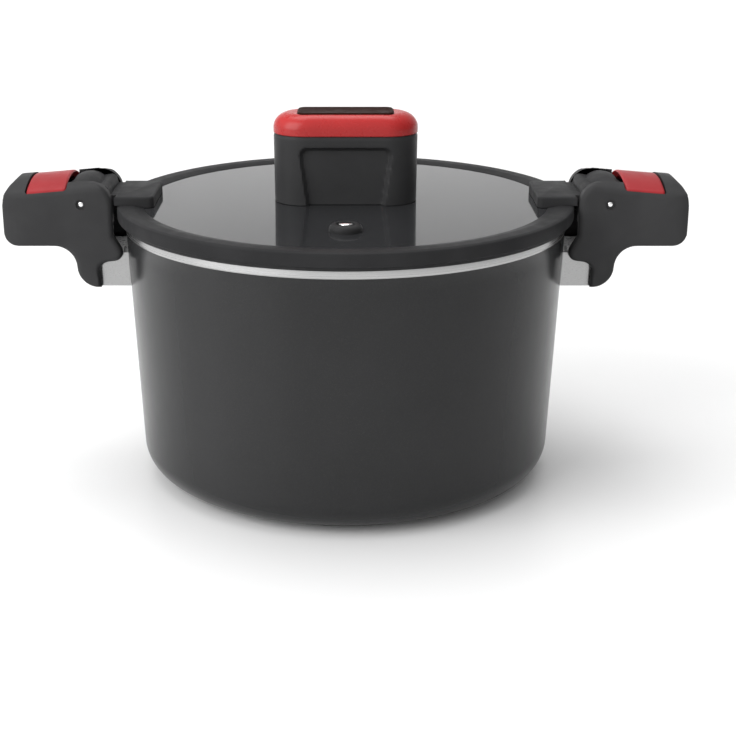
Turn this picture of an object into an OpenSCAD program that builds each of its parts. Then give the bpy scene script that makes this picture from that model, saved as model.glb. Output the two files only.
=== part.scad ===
/* [Pot] */
// Inside diameter of the pot at its rim
pot_inner_d = 240; // [236:1:244]
// Height of the pot from the table to the top of its rim
pot_h = 149; // [146:1:152]
// Thickness of the pot wall
pot_wall = 3.5; // [3:0.5:4]
// Amount that the wall tapers in, from the rim down to the corner
pot_taper = 5.5; // [4:0.5:7]
// Outer radius of the corner between wall and base
corner_r = 16; // [12:1:20]
// Height of the bare metal band at the rim
rim_band_h = 5.6; // [4:0.2:8]

/* [Lid] */
// Outer radius of the plastic lid ring
ring_r = 128; // [127.5:0.5:129]
// Radius of the glass that shows inside the ring
window_r = 113.6; // [108:0.2:114]
// Thickness of the glass pane
glass_t = 4.2; // [3.8:0.2:4.6]

/* [Handles] */
// Distance of each hinge pin from the centre of the pot
pin_x = 145.3; // [145:0.1:146]
// Radius of the hinge pin
pin_r = 1.75; // [1.5:0.05:2]
// Half width of a handle
handle_half_w = 26; // [25.5:0.5:27]
// Distance of a handle's outer end from the centre of the pot
handle_end_x = 189.4; // [189:0.2:191]
// Travel of the red release button and of the latch behind it
button_travel = 2.5; // [2:0.1:2.6]

/* [Knob] */
// Length of the lid knob
knob_l = 80.4; // [78:0.2:82]
// Depth of the lid knob
knob_d = 36; // [34:0.5:38]
// Height of the black knob body above the glass
knob_body_h = 38.4; // [36:0.2:40]
// Height of the red knob cap
knob_cap_h = 12.1; // [11:0.1:13]

/* [Hidden] */

round_fn = 96;
small_fn = 36;
eps = 0.01;
run_gap = 0.05;

// Pot heights and radii
foot_z = 0.3;
shell_z = 3;
foot_r = 101;
rim_out_r = pot_inner_d / 2 + 3.8;
band_z = pot_h - rim_band_h;
wall_top_r = pot_inner_d / 2 + pot_wall;
wall_low_r = wall_top_r - pot_taper;
corner_c = [wall_low_r - corner_r, shell_z + corner_r];
floor_z = 6;
inner_corner_r = corner_r - pot_wall;
base_disc_r = 88;
base_disc_t = 1.2;

// Bracket: a steel strap loop on each side of the pot
strap_t = 2.5;
loop_half_w = 20;
loop_out_x = 140;
loop_low_z = 111.3;
loop_top_z = 130.5;
foot_in_y = 5;
slot_half_w = 12;
slot_low_z = 116.2;
slot_top_z = 121.8;
rivet_r = 2.4;
rivet_z = 121;
rivet_angle = 5.2;
rivet_head_r = 4;
rivet_head_h = 1.5;
fit_gap = 0.02;

// Lid heights
glass_low_z = 152;
glass_top_z = glass_low_z + glass_t;
glass_r = 116;
ring_top_z = 157.6;
ring_slope_w = 6;
ring_low_z = 150;
gasket_low_z = pot_h + 0.1;
gasket_in_r = 119.6;
gasket_out_r = 125.6;
skirt_in_r = rim_out_r + 0.3;
skirt_low_z = 147.6;
clamp_in_r = 104;
clamp_out_r = 119.4;
clamp_low_z = 149.2;
ring_screw_r = 117.6;
ring_screw_count = 12;

// Lid arms and hinge hubs
pin_z = 158.8;
arm_top_z = ring_top_z + 4.9;
arm_half_w = 23;
arm_in_x = 105.8;
arm_corner_r = 3;
arm_end_x = 127.4;
hub_r = 12.4;
hub_half_w = 18;
hub_drop = 1.8;
gusset_low_z = 153;
arm_screw_x = 121;
arm_screw_y = 14;

// Handle shell
hub_gap = 0.3;
cheek_in_y = hub_half_w + hub_gap;
crown_r = 59;
crown_z = 173.4;
crown_slope = 4.9;
shell_t = 2.8;
grip_low_z = 135;
end_corner_r = 8.2;
jaw_x = 140.6;
jaw_low_z = loop_low_z;
jaw_space_y = loop_half_w + 0.8;
shelf_low_z = 149.2;
shelf_top_z = 151.6;
spring_x = 165;
spring_y = 16;
cover_x = [160, 183.4];
cover_half_w = 20;
cover_t = 2.6;
cover_screw = [180, 16];

// Release button and latch
button_x = [153.4, 175.4];
button_half_w = 24.6;
button_gap = 0.5;
button_wall = 2.2;
button_roof_z = 167;
button_roof_t = 1.6;
button_sink = 0.2;
button_low_z = 163;
latch_low_z = 151.8;
latch_top_z = 154.8;
latch_tip_x = pin_x + 9.6;
ramp_x = 163;
ramp_h = 5;
ramp_gap = 0.4;
groove_r = 10;
groove_half_w = 8.3;

// Jaw plate
plate_t = 2.4;
tooth_half_w = 11;
tooth_z = [118, 121.5];
tooth_tip_x = 137;
jaw_screw_y = 10;
jaw_screw_z = 138;

// Knob, steam valve and pressure indicator
knob_z = glass_top_z;
cap_z = knob_z + knob_body_h;
knob_top_z = cap_z + knob_cap_h;
cap_edge_r = 9;
plate_half = [26.4, 11.7];
stud_r = 6.9;
stem_r = 3;
stud_top_z = 178;
stud_low_z = 147.5;
stem_low_z = 143.6;
stem_clip_z = 144.6;
nut_low_z = 148;
washer_low_z = 151.2;
boss_low_z = 196.5;
knob_screw_x = 29;
indicator_y = -76;
indicator_low_z = 145.6;
indicator_clip_z = 146.6;
grommet_low_z = 150.5;

// Points along an arc, from angle a to angle b
function arc(c, r, a, b, n) = [for (i = [0:n]) c + r * [cos(a + (b - a) * i / n), sin(a + (b - a) * i / n)]];

// Outer radius of the pot wall at height z
function wall_r(z) = wall_low_r + pot_taper * (z - corner_c[1]) / (band_z - corner_c[1]);

wall_slope = atan(pot_taper / (band_z - corner_c[1]));

// Extrudes a drawing of x and z by half_w either side of the y = 0 plane
module slab(half_w) {
    rotate([90, 0, 0])
        linear_extrude(2 * half_w, center = true)
            children();
}

// A cylinder that lies along y, centred on the y = 0 plane
module rod_y(r, half_w, fn = small_fn) {
    rotate([90, 0, 0])
        cylinder(r = r, h = 2 * half_w, center = true, $fn = fn);
}

// Makes the left-hand copy of a right-hand piece
module left_side() {
    rotate([0, 0, 180])
        children();
}

// Coil spring of round wire, made as one swept tube
module coil(r, wire_r, z0, z1, turns) {
    sides = 6;
    per_turn = 14;
    rings = turns * per_turn;
    low = z0 + wire_r;
    rise = z1 - z0 - 2 * wire_r;
    pts = [for (i = [0:rings]) for (j = [0:sides - 1])
        let (a = 360 * i / per_turn, b = 360 * j / sides, rr = r + wire_r * cos(b))
        [rr * cos(a), rr * sin(a), low + rise * i / rings + wire_r * sin(b)]];
    walls = [for (i = [0:rings - 1]) for (j = [0:sides - 1])
        let (k = (j + 1) % sides)
        [i * sides + j, (i + 1) * sides + j, (i + 1) * sides + k, i * sides + k]];
    start = [[for (j = [0:sides - 1]) j]];
    finish = [[for (j = [sides - 1:-1:0]) rings * sides + j]];
    polyhedron(pts, concat(walls, start, finish), convexity = 8);
}

// ---- Pot ----

module pot_body() {
    outer = concat([[0, foot_z], [foot_r - 0.6, foot_z], [foot_r, foot_z + 0.6], [foot_r, shell_z]],
        arc(corner_c, corner_r, -90, 0, 16),
        [[wall_top_r, band_z], [rim_out_r, band_z], [rim_out_r, pot_h - 0.8], [rim_out_r - 0.8, pot_h]]);
    inner = concat([[pot_inner_d / 2 + 0.8, pot_h], [pot_inner_d / 2, pot_h - 0.8]],
        arc(corner_c, inner_corner_r, 0, -90, 16),
        [[0, floor_z]]);
    color("dimgray")
        difference() {
            rotate_extrude($fn = round_fn)
                polygon(concat(outer, inner));
            translate([0, 0, foot_z - eps])
                cylinder(r = base_disc_r, h = base_disc_t - foot_z + eps, $fn = round_fn);
            rivet_places()
                cylinder(r = rivet_r + fit_gap, h = 20, center = true, $fn = small_fn);
        }
}

module base_disc() {
    groove_r0 = 30;
    groove_step = 18;
    color("silver")
        difference() {
            cylinder(r = base_disc_r, h = base_disc_t, $fn = round_fn);
            for (i = [0:2])
                rotate_extrude($fn = round_fn)
                    translate([groove_r0 + i * groove_step, 0])
                        circle(r = 0.4, $fn = 16);
        }
}

// Places its children at the four rivets, with +z square to the wall and out of the pot
module rivet_places() {
    for (side = [0, 180])
        for (turn = [-rivet_angle, rivet_angle])
            rotate([0, 0, side + turn])
                translate([wall_r(rivet_z), 0, rivet_z])
                    rotate([0, 90 + wall_slope, 0])
                        children();
}

// A length of the pot's outer wall, grown by the given amount
module wall_cone(grow) {
    cone_z = [90, 140];
    translate([0, 0, cone_z[0]])
        cylinder(r1 = wall_r(cone_z[0]) + grow, r2 = wall_r(cone_z[1]) + grow,
            h = cone_z[1] - cone_z[0], $fn = round_fn);
}

module bracket() {
    height = loop_top_z - loop_low_z;
    color("gainsboro")
        difference() {
            union() {
                // Feet that lie on the pot wall, turned in towards each other
                intersection() {
                    wall_cone(strap_t);
                    for (s = [-1, 1])
                        translate([110, s > 0 ? foot_in_y : -loop_half_w + 1, loop_low_z])
                            cube([30, loop_half_w - 1 - foot_in_y, height]);
                }
                // Loop that stands out from the wall
                translate([0, 0, loop_low_z])
                    linear_extrude(height)
                        difference() {
                            loop_outline(0, 4);
                            loop_outline(strap_t, 1.5);
                        }
            }
            wall_cone(fit_gap);
            // Slot for the tooth of the handle
            translate([loop_out_x - strap_t - 1, -slot_half_w, slot_low_z])
                cube([strap_t + 2, 2 * slot_half_w, slot_top_z - slot_low_z]);
            rivet_places()
                cylinder(r = rivet_r + fit_gap, h = 12, center = true, $fn = small_fn);
        }
}

module loop_outline(inset, corner) {
    x = loop_out_x - inset;
    y = loop_half_w - inset;
    translate([110, -y])
        square([x - corner - 110, 2 * y]);
    translate([110, -y + corner])
        square([x - 110, 2 * (y - corner)]);
    for (s = [-1, 1])
        translate([x - corner, s * (y - corner)])
            circle(r = corner, $fn = small_fn);
}

module bracket_rivets() {
    head_gap = 0.12;
    // The wall is a little thicker here than at the rim
    local_wall = pot_wall + 0.3;
    inner_z = -local_wall - head_gap;
    outer_z = strap_t + head_gap;
    color("silver")
        rivet_places() {
            translate([0, 0, inner_z - rivet_head_h])
                cylinder(r = rivet_r, h = outer_z - inner_z + 2 * rivet_head_h, $fn = small_fn);
            translate([0, 0, inner_z - rivet_head_h])
                cylinder(r = rivet_head_r, h = rivet_head_h, $fn = small_fn);
            translate([0, 0, outer_z])
                cylinder(r = rivet_head_r, h = rivet_head_h, $fn = small_fn);
        }
}

// ---- Lid ----

module lid_glass() {
    color("slategray", 0.6)
        difference() {
            rotate_extrude($fn = round_fn)
                polygon([[0, glass_low_z], [glass_r, glass_low_z], [glass_r, glass_top_z], [0, glass_top_z]]);
            translate([0, 0, glass_low_z - 1])
                cylinder(r = stud_r + 0.3, h = glass_t + 2, $fn = small_fn);
            translate([0, indicator_y, glass_low_z - 1])
                cylinder(r = 6, h = glass_t + 2, $fn = small_fn);
        }
}

module lid_ring() {
    color("#2b2b2b")
        difference() {
            rotate_extrude($fn = round_fn)
                polygon([[window_r, glass_top_z], [window_r, glass_top_z + 0.1],
                    [window_r + ring_slope_w, ring_top_z], [ring_r - 2, ring_top_z],
                    [ring_r - 0.6, ring_top_z - 0.4], [ring_r, ring_top_z - 1],
                    [ring_r, ring_low_z + 0.6], [ring_r - 0.6, ring_low_z], [ring_r - 2.2, ring_low_z],
                    [ring_r - 2.2, glass_low_z], [glass_r + 0.2, glass_low_z], [glass_r + 0.2, glass_top_z]]);
            ring_screw_places()
                translate([0, 0, glass_low_z - eps])
                    cylinder(r = 1.1, h = 3.2, $fn = small_fn);
            for (side = [0, 180])
                rotate([0, 0, side])
                    arm_screw_places()
                        arm_screw(fit_gap);
        }
}

module ring_screw_places() {
    for (i = [0:ring_screw_count - 1])
        rotate([0, 0, (i + 0.5) * 360 / ring_screw_count])
            translate([ring_screw_r, 0, 0])
                children();
}

module lid_clamp_ring() {
    color("#303030")
        difference() {
            rotate_extrude($fn = round_fn)
                polygon([[clamp_in_r, clamp_low_z + 1], [clamp_in_r + 2, clamp_low_z],
                    [clamp_out_r, clamp_low_z], [clamp_out_r, glass_low_z], [clamp_in_r, glass_low_z]]);
            ring_screw_places()
                translate([0, 0, clamp_low_z - eps])
                    cylinder(r = 1.1, h = 4, $fn = small_fn);
            ring_screw_places()
                translate([0, 0, clamp_low_z - eps])
                    cylinder(r = 1.6, h = 1.2 + eps, $fn = small_fn);
        }
}

module lid_ring_screws() {
    color("silver")
        ring_screw_places()
            difference() {
                union() {
                    translate([0, 0, clamp_low_z])
                        cylinder(r = 1.6, h = 1.2, $fn = small_fn);
                    translate([0, 0, clamp_low_z + 1])
                        cylinder(r = 1.1, h = 4.8, $fn = small_fn);
                }
                translate([-1.2, -0.25, clamp_low_z - eps])
                    cube([2.4, 0.5, 0.5]);
            }
}

module lid_gasket() {
    color("#1c1c1c")
        rotate_extrude($fn = round_fn)
            polygon([[gasket_in_r, gasket_low_z + 0.9], [gasket_in_r + 1.2, gasket_low_z],
                [skirt_in_r, gasket_low_z], [skirt_in_r, skirt_low_z], [gasket_out_r - 0.5, skirt_low_z],
                [gasket_out_r, skirt_low_z + 0.6], [gasket_out_r, glass_low_z], [gasket_in_r, glass_low_z]]);
}

// Plan outline of the plate of an arm, rounded at its inner corners
module arm_outline() {
    translate([arm_in_x + arm_corner_r, -arm_half_w])
        square([arm_end_x - arm_in_x - arm_corner_r, 2 * arm_half_w]);
    translate([arm_in_x, -arm_half_w + arm_corner_r])
        square([arm_corner_r + 1, 2 * (arm_half_w - arm_corner_r)]);
    for (s = [-1, 1])
        translate([arm_in_x + arm_corner_r, s * (arm_half_w - arm_corner_r)])
            circle(r = arm_corner_r, $fn = small_fn);
}

module arm() {
    color("#353535")
        difference() {
            union() {
                // Plate that lies on the ring and reaches in over the edge of the glass
                difference() {
                    translate([0, 0, glass_top_z + 0.3])
                        linear_extrude(arm_top_z - glass_top_z - 0.3)
                            arm_outline();
                    rotate_extrude($fn = round_fn)
                        polygon([[window_r - 0.1, glass_top_z], [window_r - 0.1, glass_top_z + 0.3],
                            [window_r + ring_slope_w - 0.5, ring_top_z + fit_gap],
                            [ring_r + 5, ring_top_z + fit_gap], [ring_r + 5, glass_top_z]]);
                }
                // Neck to the hinge hub
                translate([arm_end_x - 2, -hub_half_w, ring_top_z])
                    cube([pin_x - arm_end_x + 2, 2 * hub_half_w, arm_top_z - ring_top_z]);
                translate([0, 0, gusset_low_z])
                    linear_extrude(ring_top_z - gusset_low_z + eps)
                        difference() {
                            translate([120, -hub_half_w])
                                square([pin_x - 120, 2 * hub_half_w]);
                            circle(r = ring_r + 0.2, $fn = round_fn);
                        }
                translate([pin_x, 0, pin_z]) {
                    hub_barrel(0, hub_half_w);
                    slab(hub_half_w)
                        polygon([[0, 0], [-6, 8], [-9.1, 8.4], [-12.3, 8.9], [-14.4, 7.2], [-15.4, 0]]);
                }
            }
            translate([pin_x, 0, pin_z])
                rod_y(pin_r + run_gap, hub_half_w + 1);
            latch_groove();
            arm_screw_places()
                arm_screw(fit_gap);
        }
}

// Crowned hub about the hinge axis, thickest in the middle
module hub_barrel(grow, half_w) {
    crown_rad = (pow(hub_half_w, 2) + pow(hub_drop, 2)) / (2 * hub_drop);
    bulge = asin(half_w / crown_rad);
    rotate([90, 0, 0])
        rotate_extrude($fn = round_fn)
            polygon(concat([[0, -half_w]],
                arc([hub_r + grow - crown_rad, 0], crown_rad, -bulge, bulge, 12),
                [[0, half_w]]));
}

// Groove around the outer half of the hub, in which the latch nose runs as the handle folds
module latch_groove() {
    translate([pin_x, 0, pin_z])
        slab(groove_half_w)
            difference() {
                polygon(concat([[0, 0]], arc([0, 0], 20, -42, 62, 12)));
                circle(r = groove_r, $fn = round_fn);
            }
}

module arm_screw_places() {
    for (s = [-1, 1])
        translate([arm_screw_x, s * arm_screw_y, 0])
            children();
}

// One arm screw, grown by the given amount where it is used to cut its hole
module arm_screw(grow) {
    translate([0, 0, glass_low_z - grow])
        cylinder(r = 2.5 + grow, h = 1.6 + 2 * grow, $fn = small_fn);
    translate([0, 0, glass_low_z])
        cylinder(r = 1.5 + grow, h = 9 + grow, $fn = small_fn);
}

module arm_screws() {
    color("silver")
        for (side = [0, 180])
            rotate([0, 0, side])
                arm_screw_places()
                    difference() {
                        arm_screw(0);
                        translate([-1.8, -0.35, glass_low_z - eps])
                            cube([3.6, 0.7, 0.7]);
                    }
}

// ---- Knob ----

module stadium(l, d) {
    square([l - d, d], center = true);
    for (s = [-1, 1])
        translate([s * (l - d) / 2, 0])
            circle(d = d, $fn = 64);
}

// Finger recess in the front and the back of the knob body
module finger_recess() {
    depth = 2.6;
    top_half = 25.5;
    low_half = 21;
    recess_top_z = 187.8;
    round_r = 5;
    corner = [top_half - round_r, recess_top_z - round_r];
    translate([0, -knob_d / 2 + depth, 0])
        rotate([90, 0, 0])
            linear_extrude(10)
                polygon(concat([[low_half, knob_z - 1], [top_half, corner[1] - 1]],
                    arc(corner, round_r, 0, 90, 8),
                    arc([-corner[0], corner[1]], round_r, 90, 180, 8),
                    [[-top_half, corner[1] - 1], [-low_half, knob_z - 1]]));
}

module knob_body() {
    wall = 6;
    inner_low_z = 164;
    color("#2a2a2a")
        difference() {
            translate([0, 0, knob_z])
                linear_extrude(knob_body_h)
                    stadium(knob_l - 0.6, knob_d - 0.4);
            finger_recess();
            rotate([0, 0, 180])
                finger_recess();
            // Hollow around the centre boss and the two screw posts
            difference() {
                translate([0, 0, inner_low_z])
                    linear_extrude(knob_body_h)
                        stadium(knob_l - 2 * wall, knob_d - 2 * wall);
                cylinder(r = 10, h = stud_top_z, $fn = small_fn);
                for (s = [-1, 1])
                    translate([s * knob_screw_x, 0, 0])
                        cylinder(r = 4, h = cap_z, $fn = small_fn);
            }
            translate([0, 0, knob_z - 1])
                cylinder(r = stud_r, h = stud_top_z - knob_z + 2, $fn = small_fn);
            translate([0, 0, knob_z - eps])
                cylinder(r = 11, h = 1, $fn = small_fn);
            for (s = [-1, 1])
                translate([s * knob_screw_x, 0, knob_z - eps]) {
                    cylinder(r = 1.5, h = knob_body_h + 1, $fn = small_fn);
                    cylinder(r = 3, h = 5, $fn = small_fn);
                }
        }
}

module knob_cap() {
    steps = 8;
    plate_gap = 0.3;
    color("firebrick")
        difference() {
            union() {
                translate([0, 0, cap_z])
                    linear_extrude(knob_cap_h - cap_edge_r)
                        stadium(knob_l, knob_d);
                // Rounded top edge, as nested slices that step inwards as they rise
                for (i = [0:steps - 1]) {
                    a = 90 * i / steps;
                    b = 90 * (i + 1) / steps;
                    inset = cap_edge_r * (1 - cos((a + b) / 2));
                    translate([0, 0, cap_z])
                        linear_extrude(knob_cap_h - cap_edge_r * (1 - sin(b)))
                            stadium(knob_l - 2 * inset, knob_d - 2 * inset * 0.66);
                }
            }
            // Hollow underside around the screw posts
            difference() {
                translate([0, 0, cap_z - eps])
                    linear_extrude(knob_cap_h - 5)
                        stadium(knob_l - 10, knob_d - 10);
                for (s = [-1, 1])
                    translate([s * knob_screw_x, 0, 0])
                        cylinder(r = 3.6, h = knob_top_z, $fn = small_fn);
            }
            for (s = [-1, 1])
                translate([s * knob_screw_x, 0, cap_z - eps])
                    cylinder(r = 1.5, h = 6, $fn = small_fn);
            translate([0, 0, cap_z])
                linear_extrude(knob_cap_h + 1)
                    plate_outline(plate_gap);
        }
}

module plate_outline(grow) {
    corner = 4 + grow;
    x = plate_half[0] + grow;
    y = plate_half[1] + grow;
    square([2 * (x - corner), 2 * y], center = true);
    square([2 * x, 2 * (y - corner)], center = true);
    for (sx = [-1, 1])
        for (sy = [-1, 1])
            translate([sx * (x - corner), sy * (y - corner)])
                circle(r = corner, $fn = small_fn);
}

module knob_stud() {
    guide_z = 165;
    color("silver")
        difference() {
            translate([0, 0, stud_low_z])
                cylinder(r = stud_r, h = stud_top_z - stud_low_z, $fn = small_fn);
            translate([0, 0, stud_low_z - 1])
                cylinder(r = stem_r + run_gap, h = 40, $fn = small_fn);
            translate([0, 0, stud_low_z - 1])
                cylinder(r = 4.8, h = guide_z - stud_low_z + 1, $fn = small_fn);
        }
}

module knob_nut() {
    color("silver")
        translate([0, 0, nut_low_z])
            difference() {
                cylinder(r = 11.5, h = washer_low_z - nut_low_z, $fn = 6);
                translate([0, 0, -1])
                    cylinder(r = stud_r, h = 6, $fn = small_fn);
            }
}

module knob_washer() {
    color("gainsboro")
        translate([0, 0, washer_low_z])
            difference() {
                cylinder(r = 14, h = glass_low_z - washer_low_z, $fn = 64);
                translate([0, 0, -1])
                    cylinder(r = stud_r, h = 4, $fn = small_fn);
            }
}

module knob_gasket() {
    color("#1c1c1c")
        translate([0, 0, knob_z])
            difference() {
                cylinder(r = 11, h = 1 - eps, $fn = small_fn);
                translate([0, 0, -1])
                    cylinder(r = stud_r, h = 4, $fn = small_fn);
            }
}

module knob_screws() {
    color("silver")
        for (s = [-1, 1])
            translate([s * knob_screw_x, 0, 0])
                difference() {
                    union() {
                        translate([0, 0, knob_z + 2.8])
                            cylinder(r = 2.9, h = 2.2 - eps, $fn = small_fn);
                        translate([0, 0, knob_z + 4])
                            cylinder(r = 1.5, h = cap_z + 5.5 - knob_z - 4, $fn = small_fn);
                    }
                    translate([-2, -0.4, knob_z + 2.8 - eps])
                        cube([4, 0.8, 0.9]);
                }
}

// ---- Steam release ----

module steam_button() {
    push_plate_t = 3;
    color("#262626")
        difference() {
            union() {
                translate([0, 0, knob_top_z - push_plate_t])
                    linear_extrude(push_plate_t)
                        plate_outline(0);
                translate([0, 0, boss_low_z])
                    cylinder(r = 6.2, h = knob_top_z - boss_low_z - 1, $fn = small_fn);
            }
            translate([0, 0, boss_low_z - 1])
                cylinder(r = stem_r, h = 6, $fn = small_fn);
        }
}

module valve_stem() {
    color("silver")
        difference() {
            translate([0, 0, stem_low_z])
                cylinder(r = stem_r, h = boss_low_z + 5 - stem_low_z, $fn = small_fn);
            rotate_extrude($fn = small_fn)
                translate([2.2, stem_clip_z])
                    square([2, 0.8]);
        }
}

module valve_disc() {
    color("#8c2f22")
        translate([0, 0, stud_low_z - 2.1])
            difference() {
                cylinder(r = 6.6, h = 2, $fn = small_fn);
                translate([0, 0, -1])
                    cylinder(r = stem_r + fit_gap, h = 4, $fn = small_fn);
            }
}

module stem_clip() {
    color("silver")
        translate([0, 0, stem_clip_z])
            difference() {
                cylinder(r = 4.6, h = 0.8, $fn = small_fn);
                translate([0, 0, -1])
                    cylinder(r = 2.2, h = 4, $fn = small_fn);
                translate([0, -1.6, -1])
                    cube([6, 3.2, 4]);
            }
}

module valve_spring() {
    color("lightsteelblue")
        coil(4.3, 0.45, stud_top_z, boss_low_z, 6);
}

// ---- Pressure indicator ----

module indicator_grommet() {
    dome_h = 3.9;
    flange_r = 8.8;
    color("#202020")
        translate([0, indicator_y, 0])
            difference() {
                rotate_extrude($fn = 48)
                    polygon(concat([[0, grommet_low_z], [8, grommet_low_z], [8, glass_low_z],
                        [6, glass_low_z], [6, glass_top_z],
                        [flange_r, glass_top_z], [flange_r, glass_top_z + 1]],
                        arc([flange_r - 2.9, glass_top_z + 1], 2.9, 0, 90, 6),
                        [[0, glass_top_z + dome_h]]));
                translate([0, 0, 140])
                    cylinder(r = 2.6, h = 30, $fn = small_fn);
            }
}

module indicator_pin() {
    head_z = glass_top_z + 4;
    color("gainsboro")
        translate([0, indicator_y, 0])
            difference() {
                union() {
                    rotate_extrude($fn = 48)
                        polygon([[0, head_z], [3.9, head_z], [4.4, head_z + 0.5], [4.4, head_z + 1.2],
                            [3.7, head_z + 1.9], [0, head_z + 1.9]]);
                    translate([0, 0, indicator_low_z])
                        cylinder(r = 2.55, h = head_z - indicator_low_z + 0.5, $fn = small_fn);
                }
                translate([0, 0, indicator_clip_z])
                    rotate_extrude($fn = small_fn)
                        translate([1.9, 0])
                            square([2, 0.7]);
            }
}

module indicator_clip() {
    color("silver")
        translate([0, indicator_y, indicator_clip_z])
            difference() {
                cylinder(r = 4, h = 0.7, $fn = small_fn);
                translate([0, 0, -1])
                    cylinder(r = 1.9, h = 4, $fn = small_fn);
                translate([0, -1.4, -1])
                    cube([6, 2.8, 4]);
            }
}

// ---- Handles, drawn on the right ----

// Side outline of a handle, in x and z
module handle_outline() {
    fillet_c = [161.6, grip_low_z - 12];
    jaw_c = [137.6, jaw_low_z + 12];
    top_c = [136.6, 162];
    end_c = [handle_end_x - end_corner_r, grip_low_z + end_corner_r];
    polygon(concat([[136.4, jaw_low_z], [137.3, 121.5], [134.5, 125.2], [128.5, 126.4], [125, 128],
        [123.9, 131], [125.2, 135], [128.6, 141]],
        arc(top_c, 8, 180, 90, 8),
        [[150, 176], [181, 176], [182, 170.6], [185.4, 168.4], [187.8, 164.2], [189.1, 159.6],
            [handle_end_x, 152]],
        arc(end_c, end_corner_r, 0, -90, 8),
        arc(fillet_c, 12, 90, 180, 8),
        arc(jaw_c, 12, 0, -90, 8)));
}

// Plan outline of a handle, rounded at its outer end
module handle_plan(inset) {
    plan_r = 5 - inset;
    x = handle_end_x - inset;
    y = handle_half_w - inset;
    translate([110, -y])
        square([x - plan_r - 110, 2 * y]);
    translate([110, -y + plan_r])
        square([x - 110, 2 * (y - plan_r)]);
    for (s = [-1, 1])
        translate([x - plan_r, s * (y - plan_r)])
            circle(r = plan_r, $fn = small_fn);
}

// Long cylinder whose upper side is the crowned top of a handle
module crown(inset) {
    translate([pin_x, 0, crown_z])
        rotate([0, crown_slope, 0])
            translate([-50, 0, -crown_r])
                rotate([0, 90, 0])
                    cylinder(r = crown_r - inset, h = 120, $fn = round_fn);
}

module handle_block() {
    intersection() {
        slab(handle_half_w)
            handle_outline();
        crown(0);
        translate([0, 0, 100])
            linear_extrude(90)
                handle_plan(0);
    }
}

// Hollow of the grip
module grip_space() {
    corner_c2 = [handle_end_x - end_corner_r, grip_low_z + end_corner_r];
    intersection() {
        slab(handle_half_w - shell_t)
            polygon(concat([[151, 138], [corner_c2[0], 138]],
                arc(corner_c2, end_corner_r - shell_t - 0.2, -80, 0, 6),
                [[186.7, 149], [186.3, 157], [184.8, 162], [182, 166], [180, 168], [180, 176], [151, 176]]));
        crown(shell_t);
        translate([0, 0, 100])
            linear_extrude(90)
                handle_plan(shell_t);
    }
}

module handle_shell() {
    boss_r = 3.4;
    rail_y = 10.3;
    color("#2c2c2c")
        difference() {
            union() {
                difference() {
                    handle_block();
                    grip_space();
                }
                intersection() {
                    grip_space();
                    union() {
                        // Shelf that carries the latch and the button springs
                        translate([158, -handle_half_w, shelf_low_z])
                            cube([18, 2 * handle_half_w, shelf_top_z - shelf_low_z]);
                        for (s = [-1, 1]) {
                            translate([160, s > 0 ? rail_y : -rail_y - 1.5, shelf_top_z - eps])
                                cube([16, 1.5, 4.4]);
                            translate([spring_x, s * spring_y, shelf_top_z - eps])
                                cylinder(r = 1.7, h = 2.6, $fn = small_fn);
                            translate([cover_screw[0], s * cover_screw[1], grip_low_z + cover_t])
                                cylinder(r = boss_r, h = 40, $fn = small_fn);
                        }
                    }
                }
            }
            // Room for the hub, the arm and the pot bracket
            translate([pin_x, 0, pin_z])
                hub_barrel(hub_gap, cheek_in_y);
            translate([100, -cheek_in_y, 147.9])
                cube([pin_x - 100, 2 * cheek_in_y, 40]);
            translate([100, -cheek_in_y, pin_z])
                cube([button_x[0] - button_gap - 100, 2 * cheek_in_y, 40]);
            translate([100, -jaw_space_y, 100])
                cube([jaw_x - 100, 2 * jaw_space_y, 48]);
            // Opening for the button
            translate([button_x[0] - button_gap, -button_half_w - button_gap, pin_z])
                cube([button_x[1] - button_x[0] + 2 * button_gap, 2 * (button_half_w + button_gap), 40]);
            // Hinge pin bores and the recesses around the pin heads
            translate([pin_x, 0, pin_z]) {
                rod_y(pin_r, handle_half_w + 1);
                for (s = [-1, 1])
                    translate([0, s * (handle_half_w + 1), 0])
                        rod_y(2.75, 2);
            }
            // Opening for the cover, and the holes for its screws
            translate([cover_x[0], -cover_half_w, grip_low_z - 1])
                cube([cover_x[1] - cover_x[0], 2 * cover_half_w, 1 + cover_t]);
            translate([cover_x[0] + 2, -cover_half_w + 2, grip_low_z - 1])
                cube([cover_x[1] - cover_x[0] - 8, 2 * cover_half_w - 4, 6]);
            for (s = [-1, 1])
                translate([cover_screw[0], s * cover_screw[1], grip_low_z])
                    cylinder(r = 1.4, h = 14, $fn = small_fn);
            // Pocket for the jaw plate and the holes for its screws
            jaw_plate_block(0);
            for (s = [-1, 1])
                translate([jaw_x - 2, s * jaw_screw_y, jaw_screw_z])
                    rotate([0, 90, 0])
                        cylinder(r = 1.4, h = 12, $fn = small_fn);
        }
}

module grip_cover() {
    color("#333333")
        difference() {
            translate([cover_x[0], -cover_half_w, grip_low_z])
                cube([cover_x[1] - cover_x[0], 2 * cover_half_w, cover_t]);
            for (s = [-1, 1])
                translate([cover_screw[0], s * cover_screw[1], grip_low_z - 1]) {
                    cylinder(r = 1.4, h = 6, $fn = small_fn);
                    cylinder(r = 2.6, h = 2.4, $fn = small_fn);
                }
        }
}

module cover_screws() {
    color("silver")
        for (s = [-1, 1])
            translate([cover_screw[0], s * cover_screw[1], grip_low_z])
                difference() {
                    union() {
                        translate([0, 0, 0.1])
                            cylinder(r = 2.5, h = 1.3, $fn = small_fn);
                        translate([0, 0, 1])
                            cylinder(r = 1.4, h = 12, $fn = small_fn);
                    }
                    translate([-1.8, -0.35, 0])
                        cube([3.6, 0.7, 0.8]);
                }
}

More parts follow.
